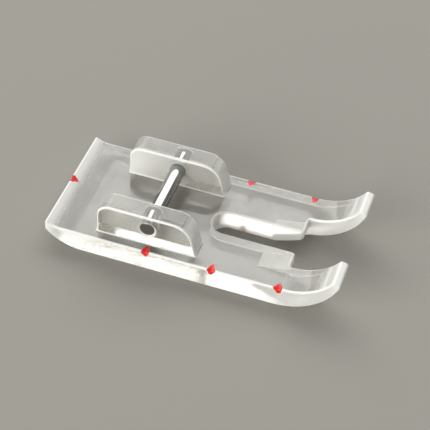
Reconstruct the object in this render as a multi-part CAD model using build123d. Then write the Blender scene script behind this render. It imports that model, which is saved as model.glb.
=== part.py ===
from build123d import *
import os
from math import atan2, cos, sin

# Clear clip-on presser foot: a moulded sole with two ears, a steel cross pin held in the ears and
# red enamel in the measuring notches. Millimetres. +X points to the toes and +Z up. The tread of the
# sole is z = 0, and x = 0 is midway between the heel and the toe tips.

# Sole, set out from the point where the needle passes
seam_allowance = 9.525
needle_to_tip = 17.95
needle_to_heel = 24.4
sole_thickness = 3.3

# Toes, which sweep up and grow thinner towards their tips
toe_width = 4.6
toe_under_run = 9.2
toe_top_run = 7.9
toe_rise = 6.8
tip_thickness = 1.2

# Heel, swept up underneath and turned up a little on top
heel_under_run = 5.4
heel_lip_run = 2.2
heel_lip_rise = 0.9
heel_edge_thickness = 1.75

# Needle slot with a round rear end, between two flanges whose undersides ramp up to the front
slot_width = 4.2
slot_behind_needle = 2.9
slot_mouth_flare = 0.3
slot_chamfer = 0.2
flange_ahead_of_needle = 9.85
ramp_run = 4.6
ramp_rise = 1.75
ramp_bow = 0.1

# Steel pin across the ears
pin_diameter = 2.0
pin_height = 6.0
pin_behind_needle = 9.9
pin_recess = 0.1
pin_clearance = 0.05
pin_end_chamfer = 0.15

# Ears, set out from the pin that they hold, with a ledge of the sole left outside each
ear_gap = 9.6
ear_ledge = 1.575
ear_above_pin = 2.2
ear_ahead_of_pin = 7.15
ear_behind_pin = 7.35
ear_front_lean = 1.2
ear_front_round = 3.0
ear_rear_round = 1.9
ear_foot_bevel = 0.15
hole_chamfer = 0.2

# Measuring notches on the rim, a seam allowance apart
mark_width = 1.3
mark_inset = 1.2
mark_drop = 0.95

# Rounding left by the mould
edge_round = 0.25
tip_round = 0.4
heel_round = 0.25
toe_root_round = 0.3

sole_length = needle_to_tip + needle_to_heel
tip_x = sole_length / 2
heel_x = -sole_length / 2
needle_x = tip_x - needle_to_tip
side_y = seam_allowance
toe_inner_y = side_y - toe_width
heel_top_z = sole_thickness + heel_lip_rise
flange_front_x = needle_x + flange_ahead_of_needle
pin_x = needle_x - pin_behind_needle
ear_inner_y = ear_gap / 2
ear_outer_y = side_y - ear_ledge
ear_top_z = pin_height + ear_above_pin
hole_radius = pin_diameter / 2 + pin_clearance
same_place = 1e-4


def side_profile():
    """Section of the sole along X: a flat tread that sweeps up to a thin heel edge and to the toe tips."""
    tread_rear = Vector(heel_x + heel_under_run, 0)
    tread_front = Vector(tip_x - toe_under_run, 0)
    tip_low = Vector(tip_x, toe_rise)
    tip_slope = 2 * atan2(toe_rise, toe_under_run)
    tip_high = tip_low + Vector(-sin(tip_slope), cos(tip_slope)) * tip_thickness
    toe_top = Vector(tip_x - toe_top_run, sole_thickness)
    lip_front = Vector(heel_x + heel_lip_run, sole_thickness)
    heel_high = Vector(heel_x, heel_top_z)
    heel_low = heel_high - Vector(0, heel_edge_thickness)
    outline = [
        TangentArc(tread_rear, heel_low, tangent=(-1, 0)),
        Line(tread_rear, tread_front),
        TangentArc(tread_front, tip_low, tangent=(1, 0)),
        Line(tip_low, tip_high),
        TangentArc(toe_top, tip_high, tangent=(1, 0)),
        Line(toe_top, lip_front),
        TangentArc(lip_front, heel_high, tangent=(-1, 0)),
        Line(heel_high, heel_low),
    ]
    section = make_face(outline)
    for ends, radius in (((tip_low, tip_high), tip_round), ((heel_low, heel_high), heel_round)):
        corners = [v for v in section.vertices() if min((v.center() - p).length for p in ends) < same_place]
        section = fillet(corners, radius)
    return section


def plan_outline():
    """Outline from above: straight sides and the gap between the toes."""
    reach = 2 * sole_length
    gap = Pos(flange_front_x, 0) * Rectangle(reach, 2 * toe_inner_y, align=(Align.MIN, Align.CENTER))
    plan = Rectangle(reach, 2 * side_y) - gap
    corners = [v for v in plan.vertices() if abs(v.X - flange_front_x) < same_place]
    return fillet(corners, toe_root_round)


def needle_slot():
    """Space of the slot: round at the rear, flared at its mouth and chamfered along both rims."""
    half = slot_width / 2
    round_x = needle_x - slot_behind_needle + half
    mouth_x = flange_front_x + slot_mouth_flare
    mouth_half = half + 2 * slot_mouth_flare
    throat_x = flange_front_x - slot_mouth_flare
    sides = Polygon(
        (round_x, -half),
        (throat_x, -half),
        (mouth_x, -mouth_half),
        (mouth_x, mouth_half),
        (throat_x, half),
        (round_x, half),
        align=None,
    )
    outline = sides + Pos(round_x, 0) * Circle(half)
    space = extrude(outline, sole_thickness)
    lower = extrude(Pos(0, 0, slot_chamfer) * outline, slot_chamfer, dir=(0, 0, -1), taper=-45)
    upper = extrude(Pos(0, 0, sole_thickness - slot_chamfer) * outline, slot_chamfer, taper=-45)
    return space + lower + upper


def flange_ramp():
    """Space under both flanges: a wedge whose roof bows gently from the tread up to the flange ends."""
    start = Vector(flange_front_x - ramp_run, 0)
    end = Vector(flange_front_x, ramp_rise)
    front_x = flange_front_x + toe_root_round
    roof = SagittaArc(start, end, -ramp_bow)
    floor = Polyline(end, (front_x, ramp_rise), (front_x, -ramp_rise), (start.X, -ramp_rise), start)
    return extrude(Plane.XZ * make_face([roof, floor]), toe_inner_y, both=True)


def sole():
    """Moulded sole: the side profile across the width, cut to the plan, with its rims rounded."""
    plan = plan_outline()
    blank = extrude(Plane.XZ * side_profile(), side_y, both=True)
    blank &= extrude(plan, sole_length, both=True)
    walls = plan.edges()

    def on_rim(edge):
        middle = edge @ 0.5
        upright = abs((edge % 0.5).Z) > 1 - same_place
        foot = Vertex(middle.X, middle.Y, 0)
        return not upright and min(wall.distance_to(foot) for wall in walls) < same_place

    blank = fillet(blank.edges().filter_by(on_rim), edge_round)
    return blank - needle_slot() - flange_ramp()


def ear(side):
    """Ear on one side (+1 or -1): a front that leans back into a large round, and an upright rounded rear."""
    rear_x = pin_x - ear_behind_pin
    front_x = pin_x + ear_ahead_of_pin
    root_z = sole_thickness / 2
    lean = ear_front_lean / (ear_top_z - sole_thickness)
    root_front_x = front_x + lean * (sole_thickness - root_z)
    top_front_x = front_x - ear_front_lean
    section = Polygon(
        (rear_x, root_z),
        (root_front_x, root_z),
        (top_front_x, ear_top_z),
        (rear_x, ear_top_z),
        align=None,
    )
    front_corner = section.vertices().group_by(Axis.Y)[-1].sort_by(Axis.X)[-1]
    section = fillet(front_corner, ear_front_round)
    rear_corner = section.vertices().group_by(Axis.Y)[-1].sort_by(Axis.X)[0]
    section = fillet(rear_corner, ear_rear_round)
    blank = extrude(Plane.XZ * section, (ear_outer_y - ear_inner_y) / 2, both=True)
    rims = blank.edges().filter_by(Axis.Y, reverse=True).group_by(Axis.Z)[1:]
    blank = fillet([edge for level in rims for edge in level], edge_round)
    return Pos(0, side * (ear_inner_y + ear_outer_y) / 2, 0) * blank


def foot_edges(body):
    """Inside corners where the ears stand on the sole."""
    on_top = body.edges().filter_by_position(Axis.Z, sole_thickness - same_place, sole_thickness + same_place)
    rear_x = pin_x - ear_behind_pin - same_place
    front_x = pin_x + ear_ahead_of_pin + same_place

    def at_ear(edge):
        middle = edge @ 0.5
        beside_ear = ear_inner_y - same_place < abs(middle.Y) < ear_outer_y + same_place
        return beside_ear and rear_x < middle.X < front_x

    return on_top.filter_by(at_ear)


def rod_across(radius, length):
    """Cylinder along Y on the pin's axis."""
    return Pos(pin_x, 0, pin_height) * Rot(90, 0, 0) * Cylinder(radius, length)


def plain_body():
    """Sole and ears in one moulding with the pin's holes, before the notches are cut."""
    body = sole() + ear(1) + ear(-1)
    body = chamfer(foot_edges(body), ear_foot_bevel)
    body -= rod_across(hole_radius, 2 * ear_outer_y)
    mouths = [e for e in body.edges().filter_by(GeomType.CIRCLE) if abs(e.radius - hole_radius) < same_place]
    return chamfer(mouths, hole_chamfer)


def groove(rim_point, top_end):
    """V groove laid slantwise over a rim, from a point on the top down to a point on the side."""
    side_end = rim_point - Vector(0, 0, mark_drop)
    fall = side_end - top_end
    depth = (rim_point - top_end).cross(fall.normalized()).length
    across = Plane(origin=top_end, x_dir=Vector(0, 0, 1).cross(fall), z_dir=fall)
    mouth = 2 * depth if across.y_dir.Z > 0 else -2 * depth
    section = Polygon((0, 0), (mark_width, mouth), (-mark_width, mouth), align=None)
    return extrude(across * section, fall.length, dir=across.z_dir)


def grooves():
    """Three along each side, the middle one level with the needle, and one in the middle of the heel."""
    heel_rim = Vector(heel_x, 0, (sole_thickness + heel_top_z) / 2)
    cuts = [groove(heel_rim, Vector(heel_x + mark_inset, 0, sole_thickness))]
    for side in (-1, 1):
        for step in (-1, 0, 1):
            rim_point = Vector(needle_x + step * seam_allowance, side * side_y, sole_thickness)
            cuts.append(groove(rim_point, rim_point - Vector(0, side * mark_inset, 0)))
    return cuts


def cross_pin():
    """Plain steel dowel whose ends stop inside the ears."""
    pin = rod_across(pin_diameter / 2, 2 * (ear_outer_y - pin_recess))
    return chamfer(pin.edges().filter_by(GeomType.CIRCLE), pin_end_chamfer)


uncut = plain_body()
cuts = grooves()
clear_foot = uncut - cuts
red_marks = Compound(children=[fill for cut in cuts for fill in (uncut & cut).solids()])

os.makedirs("parts", exist_ok=True)
export_step(clear_foot, "parts/clear_foot.step")
export_step(cross_pin(), "parts/cross_pin.step")
export_step(red_marks, "parts/red_marks.step")
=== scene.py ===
import math

import bpy
import numpy as np
from mathutils import Matrix, Vector


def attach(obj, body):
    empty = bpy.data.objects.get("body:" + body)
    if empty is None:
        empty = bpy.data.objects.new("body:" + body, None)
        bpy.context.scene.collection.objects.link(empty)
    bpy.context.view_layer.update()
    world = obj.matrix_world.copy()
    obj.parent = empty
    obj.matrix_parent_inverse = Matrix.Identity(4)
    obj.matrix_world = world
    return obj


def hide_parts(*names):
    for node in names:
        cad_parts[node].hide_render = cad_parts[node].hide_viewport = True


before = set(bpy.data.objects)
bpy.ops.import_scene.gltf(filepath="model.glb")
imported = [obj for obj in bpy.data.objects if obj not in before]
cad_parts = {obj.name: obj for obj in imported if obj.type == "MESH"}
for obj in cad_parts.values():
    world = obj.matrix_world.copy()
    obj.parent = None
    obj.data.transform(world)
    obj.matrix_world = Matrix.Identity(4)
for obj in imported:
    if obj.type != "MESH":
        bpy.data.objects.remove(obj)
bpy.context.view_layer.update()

MM = 0.001

# Sizes of the moulding that the enamel and the frost are laid out from, in millimetres
SIDE = 9.525
SOLE_TOP = 3.3
RIM_ROUND = 0.25
HEEL_X = -21.175
HEEL_LIP_RUN = 2.2
HEEL_LIP_RISE = 0.9
NEEDLE_X = 3.225
MARK_STEP = 9.525
NOTCH_WIDTH = 1.3
NOTCH_INSET = 1.2
NOTCH_DROP = 0.95

# The pin, in millimetres
PIN_X = -6.675
PIN_Z = 6.0
PIN_RADIUS = 1.1
PIN_HALF = 7.85
PIN_CHAMFER = 0.15

# The pin's holes in the ears, in millimetres: as moulded, and how far they are widened for the pin
HOLE_RADIUS = 1.05
HOLE_CHAMFER = 0.2
HOLE_SWELL = 0.045
MOUTH_RADIUS = 1.42
HOLE_TOLERANCE = 0.01
EAR_MIDDLE = 6.375

# Joining of the CAD faces: places within this length in metres are one, and normals within the crease
# angle run together
SAME_PLACE = 2e-7
NO_AREA = 1e-20
CREASE = math.radians(13)
FLAT_WITHIN = math.radians(0.3)
FLAT_WEIGHT = 1000.0

# Frost, from 0 on a polished face to 1 where it is white, at places along X in millimetres
SOLE_END_FROST = ((-20.5, -19.2, 15.8, 20.5), (1.0, 0.0, 0.0, 1.0))
WALL_FROST = ((-20.0, -15.5, 8.0, 12.5), (0.77, 0.42, 0.42, 0.77))
EAR_INNER_FROST = ((-13.4, 0.6), (0.92, 0.22))

# Frost of the ears' ends by the X part of the normal, and share of tread by the Z part
EAR_END_FROST = ((-0.05 - 1 / 6, -0.05, 0.3, 0.56), (0.5, 0.0, 0.0, 0.65))
TREAD_SHARE = ((-1.0, -0.875), (1.0, 0.0))

# Frost of the other faces
FLAT_FROST = 0.08
EAR_FROST = 0.1
EAR_FAR_FROST = 0.6
SLOT_FROST = 0.55
# The bevels' frost, and the white frost that is also laid on small rounds: there the white is partly
# painted highlight
BEVEL_FROST_AND_HIGHLIGHT = 0.9
WHITE_FROST = 1.0

# Limits that tell the faces apart: places in millimetres, parts of the unit normal, and a bend per
# millimetre
EAR_FOOT = SOLE_TOP + 0.1
EAR_OUT = 8.1
EAR_SPAN = (-14.3, 0.7)
EAR_OUTER_FACE = 7.0
SLOT_OUT = 3.0
SLOT_SPAN = (0.0, 13.4)
RAMP_OUT = 4.93
RAMP_SPAN = (8.4, 13.2)
RAMP_TILT = (-0.99, -0.8)
SQUARE_ON = 0.9
UPRIGHT = 0.6
BEVEL_TILT = math.sqrt(0.5)
BEVEL_TOLERANCE = 0.03
SHARP_BEND = 1.5

# Rings of the pin's mesh, and the shares of its end faces' radius that the rings on them span
ROD_AROUND = 128
ROD_CHAMFER_RINGS = 7
ROD_FACE_RINGS = 4
ROD_FACE_SPAN = (0.2, 0.98)
ROD_LENGTH_RINGS = 40

# Sections of the rims under the enamel: lengths in millimetres, and steps
RIM_TOP_RUN = 3.0
RIM_WALL_DROP = 2.4
RIM_FLAT_STEPS = 29
RIM_ROUND_STEPS = 17
HEEL_WALL_DROP = 1.2
HEEL_LIP_STEPS = 40
HEEL_ROUND_STEPS = 20
HEEL_WALL_STEPS = 20

# Enamel dabs: film and under skin in millimetres from the rim's surface, and shares of the notch's
# depth. The rings lie at the sines of angles spread evenly over a span in half turns.
DAB_FILM = 0.05
DAB_SINK = 0.3
DAB_UNDER = -0.02
DAB_KEEL = 1.0
DAB_AROUND = 72
DAB_RINGS = 12
DAB_RING_SPAN = (0.06, 0.5)
SLOPE_STEP = 0.02

# Outline of a dab: power of the kite, its spread over the notch, and the sines that make its edge waver
KITE_POWER = 1.3
KITE_SPREAD = 1.05
WAVES = np.arange(2, 10)
WAVER = 0.07
WAVER_FADE = 0.6
FIRST_SEED = 11

# How full the notches are: the rear one beside the far ear is the barest
FULL = 1.0
HEEL_FILL = 0.86
FAR_REAR_FILL = 0.6

# Floor, in metres: half its width, and the film of air under the tread
FLOOR_REACH = 3.0
FLOOR_GAP = 0.02 * MM

# Camera at the photograph's view, fitted to the sole's own edges: radians, millimetres and pixels
AZIMUTH = 0.278323571
ELEVATION = 0.778513147
ROLL = 0.0643879987
LOOK_AT = (-0.54369, 4.03309, 0)
DISTANCE = 204.765615
SENSOR_WIDTH = 36
FOCAL_PIXELS = 1417.83699
FRAME_PIXELS = 430


def linear(code):
    """sRGB hex colour as linear RGBA: the sRGB curve undone channel by channel."""
    channels = [int(code[i : i + 2], 16) / 255 for i in (1, 3, 5)]
    return (*[c / 12.92 if c <= 0.04045 else ((c + 0.055) / 1.055) ** 2.4 for c in channels], 1.0)


def add(tree, kind, links=(), values=(), **settings):
    """Adds one node, sets its properties and plain socket values, and links sockets to given outputs."""
    node = tree.nodes.new(kind)
    for key, value in settings.items():
        setattr(node, key, value)
    for key, value in dict(values).items():
        node.inputs[key].default_value = value
    for key, source in dict(links).items():
        tree.links.new(source, node.inputs[key])
    return node


def new_material(name):
    """Empty node material with its output node."""
    material = bpy.data.materials.new(name)
    material.use_nodes = True
    tree = material.node_tree
    tree.nodes.clear()
    return material, tree, tree.nodes.new("ShaderNodeOutputMaterial")


def moulded_polycarbonate():
    """Clear polycarbonate, injection moulded and handled.

    To the eye it is glassy, with slow flow ripples, faint hairlines, a warm depth, and white frosted
    edges whose white is partly painted highlight."""
    ripple_length = 3 * MM
    ripple_depth = 0.007 * MM
    hair_length = 5 * MM
    hair_width = 0.12 * MM
    hair_turn = 0.45
    hair_roughness = 0.03
    smear_width = 5 * MM
    streak_length = 6 * MM
    streak_width = 0.8 * MM
    whitening = 2.0
    frost_roughness = 0.5
    frost_clearness = 0.12

    material, tree, output = new_material("clear_moulded_polycarbonate")
    place = add(tree, "ShaderNodeTexCoord").outputs["Object"]
    # Flow ripples: they make the edges of reflections wander as moulded plastic does
    ripple = add(
        tree,
        "ShaderNodeTexNoise",
        {"Vector": place},
        {"Scale": 1 / ripple_length, "Detail": 1.0},
    )
    # Hairlines from cloth and fingers; real ones are finer and would not show at this size
    turned = add(
        tree,
        "ShaderNodeMapping",
        {"Vector": place},
        {"Rotation": (0, 0, hair_turn), "Scale": (1 / hair_length, 1 / hair_width, 1 / hair_length)},
    ).outputs["Vector"]
    hair = add(tree, "ShaderNodeTexNoise", {"Vector": turned}, {"Scale": 1.0, "Detail": 0.0})
    lines = add(
        tree,
        "ShaderNodeMapRange",
        {"Value": hair.outputs["Fac"]},
        {"From Min": 0.72, "From Max": 0.8, "To Min": 0.0, "To Max": 1.0},
    )
    # Handling smears in patches: dull and a little white
    haze = add(
        tree,
        "ShaderNodeTexNoise",
        {"Vector": place},
        {"Scale": 1 / smear_width, "Detail": 5.0, "Roughness": 0.6, "Distortion": 0.6},
    )
    smear = add(
        tree,
        "ShaderNodeMapRange",
        {"Value": haze.outputs["Fac"]},
        {"From Min": 0.4, "From Max": 0.7, "To Min": 0.0, "To Max": 1.0},
        interpolation_type="SMOOTHSTEP",
    )
    dull = add(
        tree,
        "ShaderNodeMapRange",
        {"Value": smear.outputs["Result"]},
        {"To Min": 0.02, "To Max": 0.1},
    )
    scratched = add(
        tree,
        "ShaderNodeMath",
        {0: lines.outputs["Result"], 2: dull.outputs["Result"]},
        {1: hair_roughness},
        operation="MULTIPLY_ADD",
    )
    hazy = add(
        tree,
        "ShaderNodeMapRange",
        {"Value": smear.outputs["Result"]},
        {"To Min": 0.98, "To Max": 0.88},
    )
    # Frost of milled walls and worn edges, laid on the skin as an attribute: rough, and white where heavy.
    # On the small rounds and bevels that white is partly painted highlight
    frost = add(tree, "ShaderNodeAttribute", attribute_name="frost")
    # Streaks rubbed into the tread by the cloth
    drawn = add(
        tree,
        "ShaderNodeMapping",
        {"Vector": place},
        {"Scale": (1 / streak_length, 1 / streak_width, 1 / streak_length)},
    ).outputs["Vector"]
    streak = add(
        tree,
        "ShaderNodeTexNoise",
        {"Vector": drawn},
        {"Scale": 1.0, "Detail": 3.0, "Distortion": 0.4},
    )
    rubbed = add(
        tree,
        "ShaderNodeMapRange",
        {"Value": streak.outputs["Fac"]},
        {"From Min": 0.4, "From Max": 0.7, "To Min": 0.06, "To Max": 0.32},
        interpolation_type="SMOOTHSTEP",
    )
    tread = add(tree, "ShaderNodeAttribute", attribute_name="tread")
    on_tread = add(
        tree,
        "ShaderNodeMath",
        {0: tread.outputs["Fac"], 1: rubbed.outputs["Result"]},
        operation="MULTIPLY",
    )
    frosted = add(
        tree,
        "ShaderNodeMath",
        {0: frost.outputs["Fac"], 1: on_tread.outputs["Value"]},
        operation="MAXIMUM",
    )
    white = add(
        tree,
        "ShaderNodeMath",
        {0: frosted.outputs["Value"]},
        {1: whitening},
        operation="POWER",
    )
    rough = add(
        tree,
        "ShaderNodeMix",
        {"Factor": frosted.outputs["Value"], "A": scratched.outputs["Value"]},
        {"B": frost_roughness},
    )
    clear = add(
        tree,
        "ShaderNodeMix",
        {"Factor": white.outputs["Value"], "A": hazy.outputs["Result"]},
        {"B": frost_clearness},
    )
    bump = add(
        tree,
        "ShaderNodeBump",
        {"Height": ripple.outputs["Fac"]},
        {"Strength": 1.0, "Distance": ripple_depth},
    )
    shader = add(
        tree,
        "ShaderNodeBsdfPrincipled",
        {
            "Roughness": rough.outputs["Result"],
            "Normal": bump.outputs["Normal"],
            "Transmission Weight": clear.outputs["Result"],
        },
        {"Base Color": linear("#fcfbf6"), "IOR": 1.58},
    )
    # A long way through the plastic turns white light faintly warm
    depth = add(
        tree,
        "ShaderNodeVolumeAbsorption",
        values={"Color": linear("#f6f3dc"), "Density": 9.0},
    )
    tree.links.new(shader.outputs["BSDF"], output.inputs["Surface"])
    tree.links.new(depth.outputs["Volume"], output.inputs["Volume"])
    return material


def polished_steel():
    """Ground and polished steel rod: mirror-like, with faint grinding rings and dull cut ends.

    The cut ends' darker colour is painted shade, for the hollows of the holes' mouths they sit sunk in.
    """
    ring_spacing = 0.1 * MM
    ring_patch = 4 * MM
    ring_depth = 0.0012 * MM
    dull_and_shaded_from = (PIN_HALF - 0.06) * MM
    dull_and_shaded_at = (PIN_HALF - 0.02) * MM
    end_roughness = 0.25

    material, tree, output = new_material("polished_steel_rod")
    place = add(tree, "ShaderNodeTexCoord").outputs["Object"]
    # Grinding rings; real ones are finer and would not show at this size
    across = add(
        tree,
        "ShaderNodeMapping",
        {"Vector": place},
        {"Scale": (1 / ring_patch, 1 / ring_spacing, 1 / ring_patch)},
    ).outputs["Vector"]
    rings = add(tree, "ShaderNodeTexNoise", {"Vector": across}, {"Scale": 1.0, "Detail": 2.0})
    wear = add(
        tree,
        "ShaderNodeMapRange",
        {"Value": rings.outputs["Fac"]},
        {"From Min": 0.3, "From Max": 0.7, "To Min": 0.05, "To Max": 0.13},
    )
    bump = add(
        tree,
        "ShaderNodeBump",
        {"Height": rings.outputs["Fac"]},
        {"Strength": 1.0, "Distance": ring_depth},
    )
    # The cut ends are left dull, as cut faces are, and darker: that darkening is painted shade for the
    # hollows of the holes' mouths that the ends sit sunk in
    reach = add(tree, "ShaderNodeSeparateXYZ", {"Vector": place})
    out = add(tree, "ShaderNodeMath", {0: reach.outputs["Y"]}, operation="ABSOLUTE")
    end = add(
        tree,
        "ShaderNodeMapRange",
        {"Value": out.outputs["Value"]},
        {"From Min": dull_and_shaded_from, "From Max": dull_and_shaded_at, "To Min": 0.0, "To Max": 1.0},
    )
    tone = add(tree, "ShaderNodeValToRGB", {"Fac": end.outputs["Result"]})
    tone.color_ramp.elements[0].color = linear("#a6a5a2")
    # Painted shade: the darker colour of the sunk ends
    tone.color_ramp.elements[1].color = linear("#8e8c88")
    shine = add(
        tree,
        "ShaderNodeMath",
        {0: end.outputs["Result"], 2: wear.outputs["Result"]},
        {1: end_roughness},
        operation="MULTIPLY_ADD",
    )
    shader = add(
        tree,
        "ShaderNodeBsdfPrincipled",
        {
            "Base Color": tone.outputs["Color"],
            "Roughness": shine.outputs["Value"],
            "Normal": bump.outputs["Normal"],
        },
        {"Metallic": 1.0},
    )
    tree.links.new(shader.outputs["BSDF"], output.inputs["Surface"])
    return material


def red_enamel():
    """Hand-laid gloss enamel: saturated red, thin and darker in places, with an uneven gloss."""
    cloud_width = 0.4 * MM
    cloud_depth = 0.05 * MM

    material, tree, output = new_material("red_gloss_enamel")
    place = add(tree, "ShaderNodeTexCoord").outputs["Object"]
    # Unevenness of a dab
    cloud = add(
        tree,
        "ShaderNodeTexNoise",
        {"Vector": place},
        {"Scale": 1 / cloud_width, "Detail": 3.0},
    )
    tone = add(tree, "ShaderNodeValToRGB", {"Fac": cloud.outputs["Fac"]})
    tone.color_ramp.elements[0].position = 0.3
    tone.color_ramp.elements[0].color = linear("#d01811")
    tone.color_ramp.elements[1].position = 0.7
    tone.color_ramp.elements[1].color = linear("#f4332a")
    bump = add(
        tree,
        "ShaderNodeBump",
        {"Height": cloud.outputs["Fac"]},
        {"Strength": 0.6, "Distance": cloud_depth},
    )
    shader = add(
        tree,
        "ShaderNodeBsdfPrincipled",
        {"Base Color": tone.outputs["Color"], "Normal": bump.outputs["Normal"]},
        {"Roughness": 0.24, "IOR": 1.5},
    )
    tree.links.new(shader.outputs["BSDF"], output.inputs["Surface"])
    return material


def matt_card():
    """Pale matt card for the floor."""
    material, tree, output = new_material("pale_matt_card")
    shader = add(
        tree,
        "ShaderNodeBsdfPrincipled",
        values={"Base Color": linear("#9b9890"), "Roughness": 0.9},
    )
    tree.links.new(shader.outputs["BSDF"], output.inputs["Surface"])
    return material


def make_object(name, places, faces, material):
    """Mesh object at the origin from places in metres and a list of faces."""
    mesh = bpy.data.meshes.new(name)
    mesh.from_pydata(places, [], faces)
    mesh.polygons.foreach_set("use_smooth", np.ones(len(mesh.polygons), bool))
    mesh.materials.append(material)
    piece = bpy.data.objects.new(name, mesh)
    bpy.context.scene.collection.objects.link(piece)
    return piece


def skin_faces(rings, around, start=0):
    """Faces of a closed skin of rings between two poles: quads from ring to ring, triangles to each pole.

    Places are counted from start, ring after ring, with the two poles last."""
    step = np.arange(around)
    after = (step + 1) % around
    row = np.arange(rings - 1)[:, None] * around
    quads = np.stack([row + step, row + after, row + around + after, row + around + step], -1)
    first, last = rings * around, rings * around + 1
    end = (rings - 1) * around
    caps = np.concatenate([
        np.stack([np.full(around, first), after, step], -1),
        np.stack([np.full(around, last), end + step, end + after], -1),
    ])
    return (start + quads.reshape(-1, 4)).tolist() + (start + caps).tolist()


def widened_holes(skin):
    """The skin with each place of the pin's holes moved straight out from their axis.

    Bores and inner mouths move a little, so that the bore lies on the pressed-in pin with no air between.
    The mouths on the ears' outer faces move out to a radius of their own."""
    offset = skin[:, [0, 2]] / MM - (PIN_X, PIN_Z)
    radius = np.hypot(*offset.T)
    mouth = HOLE_RADIUS + HOLE_CHAMFER
    in_hole = (radius > HOLE_RADIUS - HOLE_TOLERANCE) & (radius < mouth + HOLE_TOLERANCE)
    outer_mouth = (radius > mouth - HOLE_TOLERANCE) & (np.abs(skin[:, 1]) > EAR_MIDDLE * MM)
    wide = np.where(outer_mouth, MOUTH_RADIUS, radius + HOLE_SWELL)
    scale = np.where(in_hole, wide / np.maximum(radius, HOLE_RADIUS / 2), 1.0)
    skin[:, [0, 2]] = ((PIN_X, PIN_Z) + offset * scale[:, None]) * MM
    return skin


def joined_moulding(cad):
    """The CAD moulding's skin with its separate faces joined at equal places, and its holes widened.

    Each corner's normal is the sum of the normals that meet at its place within the crease angle of its
    own, with flat faces counting a thousand times, so flats stay flat, rounds run into them without a
    crease and real edges stay sharp. Triangles that the joining has closed up are left out."""
    source = cad.data
    place = np.empty(len(source.vertices) * 3, np.float32)
    source.vertices.foreach_get("co", place)
    place = place.reshape(-1, 3)
    corner = np.empty(len(source.loops), np.int32)
    source.loops.foreach_get("vertex_index", corner)
    given = np.empty(len(source.loops) * 3, np.float32)
    source.corner_normals.foreach_get("vector", given)
    given = given.reshape(-1, 3)
    triangle = corner.reshape(-1, 3)

    # A place is flat where its normal agrees with the face of each of its triangles
    side_a = place[triangle[:, 1]] - place[triangle[:, 0]]
    side_b = place[triangle[:, 2]] - place[triangle[:, 0]]
    facing = np.cross(side_a, side_b)
    facing /= np.maximum(np.linalg.norm(facing, axis=1, keepdims=True), NO_AREA)
    agree = np.einsum("fci,fi->fc", given.reshape(-1, 3, 3), facing).ravel()
    flat = np.ones(len(place))
    np.minimum.at(flat, corner, agree)
    normal = np.zeros((len(place), 3))
    np.add.at(normal, corner, given)
    normal /= np.linalg.norm(normal, axis=1, keepdims=True)
    weight = np.where(flat > math.cos(FLAT_WITHIN), FLAT_WEIGHT, 1.0)

    # Each row of the table lists the CAD's places that are one place of the joined skin
    joined, group = np.unique(np.round(place / SAME_PLACE).astype(np.int64), axis=0, return_inverse=True)
    group = group.ravel()
    order = np.argsort(group, kind="stable")
    starts = np.searchsorted(group[order], np.arange(len(joined)))
    rank = np.arange(len(order)) - starts[group[order]]
    table = np.full((len(joined), rank.max() + 1), -1)
    table[group[order], rank] = order
    share = np.where(table >= 0, weight[table], 0.0)
    member = normal[table]
    near = np.einsum("gai,gbi->gab", member, member) > math.cos(CREASE)
    summed = np.einsum("gab,gb,gbi->gai", near, share, member)
    smooth = np.empty_like(normal)
    smooth[order] = summed[group[order], rank]
    smooth /= np.linalg.norm(smooth, axis=1, keepdims=True)

    welded = group[triangle]
    whole = (welded != np.roll(welded, 1, axis=1)).all(axis=1)
    skin = place[order[starts]]
    return widened_holes(skin), welded[whole], smooth[triangle[whole]].reshape(-1, 3)


def bending(skin, triangles, normals):
    """How sharply the skin bends at each triangle's corners, per millimetre.

    It is the most that the triangle's normal turns along one of its sides, over that side's length."""
    turned = normals.reshape(-1, 3, 3)
    ends = skin[triangles]
    turn = np.linalg.norm(turned - np.roll(turned, 1, axis=1), axis=2)
    run = np.linalg.norm(ends - np.roll(ends, 1, axis=1), axis=2) / MM
    return np.repeat((turn / run).max(axis=1), 3)


def between(value, limits):
    """Whether each value lies between two limits."""
    low, high = limits
    return (value > low) & (value < high)


def frost_share(skin, triangles, normals):
    """How frosted each corner of the skin is, from its place and its normal.

    Small rounds, the ramps under the flanges and the very ends of the toes and of the heel are white, and
    bevels nearly so; on the small rounds and bevels that white is partly painted highlight. The walls of
    the slot and of the sole are half frosted, the sole's more towards its ends. The ears' inner faces grow
    whiter to the rear, their ends by how squarely they face along X, and the far ear's outer face has an
    even frost. The flats are clearest."""
    x, y, z = skin[triangles.ravel()].T / MM
    out = np.abs(y)
    forward, left, up = normals.T
    inward = -left * np.sign(y)

    on_ear = (z > EAR_FOOT) & (out < EAR_OUT) & between(x, EAR_SPAN)
    ear = np.where(inward > SQUARE_ON, np.interp(x, *EAR_INNER_FROST), EAR_FROST)
    ear = np.where((left > SQUARE_ON) & (y > EAR_OUTER_FACE), EAR_FAR_FROST, ear)
    ear = np.maximum(ear, np.interp(forward, *EAR_END_FROST))

    in_slot = (out < SLOT_OUT) & between(x, SLOT_SPAN)
    wall = np.where(in_slot, SLOT_FROST, np.interp(x, *WALL_FROST))
    wall = np.where(np.abs(up) < UPRIGHT, wall, 0.0)
    ramp = between(up, RAMP_TILT) & between(x, RAMP_SPAN) & (out < RAMP_OUT)
    face = np.where(ramp, WHITE_FROST, np.maximum(np.interp(x, *SOLE_END_FROST), FLAT_FROST))

    # Small rounds and bevels: frost whose white is partly painted highlight
    edge = np.where(bending(skin, triangles, normals) > SHARP_BEND, WHITE_FROST, 0.0)
    slant = np.minimum(np.abs(np.abs(up) - BEVEL_TILT), np.abs(np.abs(left) - BEVEL_TILT))
    bevel_frost_and_highlight = np.where(slant < BEVEL_TOLERANCE, BEVEL_FROST_AND_HIGHLIGHT, 0.0)
    return np.maximum.reduce([np.where(on_ear, ear, np.maximum(face, wall)), edge, bevel_frost_and_highlight])


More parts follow.
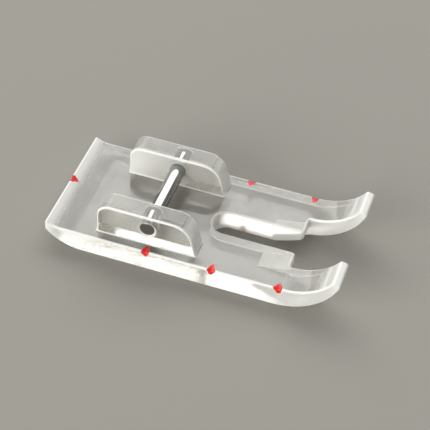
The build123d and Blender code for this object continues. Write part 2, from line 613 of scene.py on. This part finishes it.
def rod_skin():
    """Ground rod along Y: a radius that rises over a rounded chamfer at each end, turned round the axis."""
    bend = np.linspace(0, math.pi / 2, ROD_CHAMFER_RINGS)
    end_y = PIN_HALF - PIN_CHAMFER * (1 - np.cos(bend))
    end_r = PIN_RADIUS - PIN_CHAMFER * (1 - np.sin(bend))
    face_y = np.full(ROD_FACE_RINGS, PIN_HALF)
    face_r = np.linspace(*ROD_FACE_SPAN, ROD_FACE_RINGS) * end_r[0]
    length_y = np.linspace(-end_y[-1], end_y[-1], ROD_LENGTH_RINGS + 2)[1:-1]
    length_r = np.full(ROD_LENGTH_RINGS, PIN_RADIUS)
    y = np.concatenate([-face_y, -end_y, length_y, end_y[::-1], face_y])
    r = np.concatenate([face_r, end_r, length_r, end_r[::-1], face_r[::-1]])
    turn = np.linspace(0, 2 * math.pi, ROD_AROUND, endpoint=False)
    x = PIN_X + r[:, None] * np.sin(turn)
    z = PIN_Z + r[:, None] * np.cos(turn)
    rings = np.stack([x, np.broadcast_to(y[:, None], x.shape), z], -1)
    poles = np.array([[PIN_X, -PIN_HALF, PIN_Z], [PIN_X, PIN_HALF, PIN_Z]])
    return np.concatenate([rings.reshape(-1, 3), poles]) * MM, skin_faces(len(y), ROD_AROUND)


def side_rim():
    """Section of the sole's side rim, as (outward, up): the flat top, the quarter round and the wall."""
    bend = np.linspace(0, math.pi / 2, RIM_ROUND_STEPS)
    round_out = SIDE - RIM_ROUND + RIM_ROUND * np.sin(bend)
    round_up = SOLE_TOP - RIM_ROUND + RIM_ROUND * np.cos(bend)
    top_out = np.linspace(SIDE - RIM_TOP_RUN, SIDE - RIM_ROUND, RIM_FLAT_STEPS + 1)[:-1]
    top_up = np.full(RIM_FLAT_STEPS, SOLE_TOP)
    wall_out = np.full(RIM_FLAT_STEPS, SIDE)
    wall_up = np.linspace(SOLE_TOP - RIM_ROUND, SOLE_TOP - RIM_WALL_DROP, RIM_FLAT_STEPS + 1)[1:]
    return np.concatenate([top_out, round_out, wall_out]), np.concatenate([top_up, round_up, wall_up])


def heel_rim():
    """Section of the heel's rim, as (outward, up): the lip's hollow arc, its crest's round and the wall."""
    radius = (HEEL_LIP_RUN**2 + HEEL_LIP_RISE**2) / (2 * HEEL_LIP_RISE)
    heel = -HEEL_X
    crest_out = heel - RIM_ROUND
    hollow_out = heel - HEEL_LIP_RUN
    reach = math.asin((crest_out - hollow_out) / (radius + RIM_ROUND))
    crest_up = SOLE_TOP + radius - (radius + RIM_ROUND) * math.cos(reach)
    sweep = np.linspace(0, reach, HEEL_LIP_STEPS)
    bend = np.linspace(-reach, math.pi / 2, HEEL_ROUND_STEPS + 1)[1:]
    out = np.concatenate([
        hollow_out + radius * np.sin(sweep),
        crest_out + RIM_ROUND * np.sin(bend),
        np.full(HEEL_WALL_STEPS, heel),
    ])
    up = np.concatenate([
        SOLE_TOP + radius - radius * np.cos(sweep),
        crest_up + RIM_ROUND * np.cos(bend),
        np.linspace(crest_up, crest_up - HEEL_WALL_DROP, HEEL_WALL_STEPS + 1)[1:],
    ])
    return out, up


def enamel_dab(section, corner, top_end, seed, fill):
    """Places of a dab of enamel that fills a V notch laid over a rim, as (along the rim, outward, up).

    The rim's section is unrolled to a length v, and u runs along the rim. The dab's edge is a rounded kite
    in (u, v) whose radius wavers by a few sines of the angle. Its upper skin is a thin film on the rim's
    surface that sinks along the middle by a share of the notch's depth, and its under skin follows the
    notch's walls down to its keel."""
    random = np.random.default_rng(seed)
    out, up = section
    length = np.concatenate([[0], np.cumsum(np.hypot(np.diff(out), np.diff(up)))])
    fall = np.array([corner[0] - top_end[0], corner[1] - NOTCH_DROP - top_end[1]])
    fall /= np.linalg.norm(fall)
    rise = np.array([-fall[1], fall[0]])
    above = (out - top_end[0]) * rise[0] + (up - top_end[1]) * rise[1]
    crest = length[np.argmax(above)]
    mouth = length[above > 0]
    depth = above.max()
    corner_depth = (corner[0] - top_end[0]) * rise[0] + (corner[1] - top_end[1]) * rise[1]
    slope = 2 * corner_depth / NOTCH_WIDTH

    angle = np.linspace(0, 2 * math.pi, DAB_AROUND, endpoint=False)
    half_u = depth / slope
    half_v = np.where(np.sin(angle) > 0, mouth.max() - crest, crest - mouth.min())
    along = np.abs(np.cos(angle) / half_u) ** KITE_POWER
    over = np.abs(np.sin(angle) / half_v) ** KITE_POWER
    kite = (along + over) ** (-1 / KITE_POWER)
    size = WAVER * random.normal(size=len(WAVES)) / WAVES**WAVER_FADE
    phase = random.uniform(0, 2 * math.pi, len(WAVES))
    edge = fill * kite * (KITE_SPREAD + np.cos(angle[:, None] * WAVES + phase) @ size)

    def lay(ring, film, share):
        """Places at shares of the edge's radius, lowered by a share of the notch's depth there.

        A film lifts them off the rim and thins to nothing at the edge, and one below zero is even."""
        u = ring[:, None] * edge * np.cos(angle)
        v = crest + ring[:, None] * edge * np.sin(angle)
        before, after = v - SLOPE_STEP, v + SLOPE_STEP
        ahead = np.interp(after, length, out) - np.interp(before, length, out)
        fallen = np.interp(after, length, up) - np.interp(before, length, up)
        scale = np.hypot(ahead, fallen)
        normal_out, normal_up = -fallen / scale, ahead / scale
        here_out, here_up = np.interp(v, length, out), np.interp(v, length, up)
        height = (here_out - top_end[0]) * rise[0] + (here_up - top_end[1]) * rise[1]
        lower = share * np.maximum(height - slope * np.abs(u), 0)
        lift = film * np.sqrt(1 - ring[:, None] ** 4) if film > 0 else film
        placed_out = here_out + lift * normal_out - lower * rise[0]
        placed_up = here_up + lift * normal_up - lower * rise[1]
        return np.stack([u, placed_out, placed_up], -1)

    shares = np.sin(np.linspace(*DAB_RING_SPAN, DAB_RINGS) * math.pi)
    middle = np.zeros(1)
    upper, upper_pole = (lay(ring, DAB_FILM, DAB_SINK) for ring in (shares, middle))
    under, under_pole = (lay(ring, DAB_UNDER, DAB_KEEL) for ring in (shares[::-1], middle))
    rings = np.concatenate([upper, under])
    return np.concatenate([rings.reshape(-1, 3), upper_pole[:, 0], under_pole[:, 0]])


def enamel_marks():
    """All seven dabs: three along each side, a seam allowance apart, and one midway along the heel."""
    layout = []
    for side in (-1, 1):
        for step in (-1, 0, 1):
            fill = FAR_REAR_FILL if (side, step) == (1, -1) else FULL
            layout.append((side_rim(), (SIDE, SOLE_TOP), side, step, fill))
    layout.append((heel_rim(), (-HEEL_X, SOLE_TOP + HEEL_LIP_RISE / 2), 0, 0, HEEL_FILL))
    places, faces, count = [], [], 0
    for seed, (section, corner, side, step, fill) in enumerate(layout, FIRST_SEED):
        top_end = (corner[0] - NOTCH_INSET, SOLE_TOP)
        u, out, up = enamel_dab(section, corner, top_end, seed, fill).T
        if side:
            turned = np.stack([-side * u + NEEDLE_X + step * MARK_STEP, side * out, up], -1)
        else:
            turned = np.stack([-out, -u, up], -1)
        places.append(turned * MM)
        faces += skin_faces(2 * DAB_RINGS, DAB_AROUND, count)
        count += len(turned)
    return np.concatenate(places), faces


polycarbonate = moulded_polycarbonate()
steel = polished_steel()
enamel = red_enamel()

skin, triangles, normals = joined_moulding(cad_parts["clear_foot"])
moulded_foot = make_object("moulded_foot", skin, triangles.tolist(), polycarbonate)
moulded_foot.data.normals_split_custom_set(normals.tolist())
frost = moulded_foot.data.attributes.new("frost", "FLOAT", "CORNER")
frost.data.foreach_set("value", frost_share(skin, triangles, normals).astype(np.float32))
tread = moulded_foot.data.attributes.new("tread", "FLOAT", "CORNER")
tread.data.foreach_set("value", np.interp(normals[:, 2], *TREAD_SHARE).astype(np.float32))
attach(moulded_foot, "root")
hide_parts("clear_foot")

steel_pin = make_object("steel_pin", *rod_skin(), steel)
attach(steel_pin, "root")
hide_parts("cross_pin")

enamel_in_notches = make_object("enamel_in_notches", *enamel_marks(), enamel)
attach(enamel_in_notches, "root")
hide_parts("red_marks")

# Floor, just under the tread so that a film of air is left, as under a real foot
floor_corners = [(-1, -1), (1, -1), (1, 1), (-1, 1)]
floor = make_object(
    "floor",
    [(x * FLOOR_REACH, y * FLOOR_REACH, -FLOOR_GAP) for x, y in floor_corners],
    [(0, 1, 2, 3)],
    matt_card(),
)

# Soft panels a metre away: a wide one behind, which fills the clear walls with light, and a smaller one
# in front, on the heel's side, for the near walls
scene = bpy.context.scene
for name, toward, width, depth, power in (
    ("back_panel", (-0.15, 0.68, 0.7), 1.45, 0.72, 9.2),
    ("front_panel", (-0.45, -0.85, 0.3), 0.9, 0.7, 10.0),
):
    panel = bpy.data.lights.new(name, "AREA")
    panel.shape = "RECTANGLE"
    panel.size = width
    panel.size_y = depth
    panel.energy = power
    panel_object = bpy.data.objects.new(name, panel)
    toward_panel = Vector(toward).normalized()
    panel_object.location = toward_panel
    panel_object.rotation_mode = "QUATERNION"
    panel_object.rotation_quaternion = toward_panel.to_track_quat("Z", "Y")
    scene.collection.objects.link(panel_object)

# Soft room light, a little brighter overhead
world = bpy.data.worlds.new("studio")
world.use_nodes = True
world.node_tree.nodes.clear()
height = add(
    world.node_tree,
    "ShaderNodeSeparateXYZ",
    {"Vector": add(world.node_tree, "ShaderNodeTexCoord").outputs["Generated"]},
)
brightness = add(
    world.node_tree,
    "ShaderNodeMapRange",
    {"Value": height.outputs["Z"]},
    {"From Min": 0.0, "From Max": 0.8, "To Min": 0.25, "To Max": 0.36},
)
sky = add(
    world.node_tree,
    "ShaderNodeBackground",
    {"Strength": brightness.outputs["Result"]},
    {"Color": linear("#ffffff")},
)
add(world.node_tree, "ShaderNodeOutputWorld", {"Surface": sky.outputs["Background"]})
scene.world = world

# Light bounces many times along the inside of the clear sole before it leaves
scene.cycles.max_bounces = 32
scene.cycles.glossy_bounces = 24
scene.cycles.transmission_bounces = 24
scene.view_settings.view_transform = "Standard"

# Camera: turned about the vertical, raised, and rolled a little about its own line of sight
back = Vector((
    math.sin(AZIMUTH) * math.cos(ELEVATION),
    -math.cos(AZIMUTH) * math.cos(ELEVATION),
    math.sin(ELEVATION),
))
right = Vector((math.cos(AZIMUTH), math.sin(AZIMUTH), 0))
up = back.cross(right)
tilted_right = math.cos(ROLL) * right + math.sin(ROLL) * up
tilted_up = -math.sin(ROLL) * right + math.cos(ROLL) * up
lens = bpy.data.cameras.new("camera")
lens.sensor_width = SENSOR_WIDTH
lens.lens = FOCAL_PIXELS * SENSOR_WIDTH / FRAME_PIXELS
lens.clip_start = 0.01
lens.clip_end = 20
camera = bpy.data.objects.new("camera", lens)
camera.matrix_world = Matrix((tilted_right, tilted_up, back)).transposed().to_4x4()
camera.location = Vector(LOOK_AT) * MM + back * DISTANCE * MM
scene.collection.objects.link(camera)
scene.camera = camera
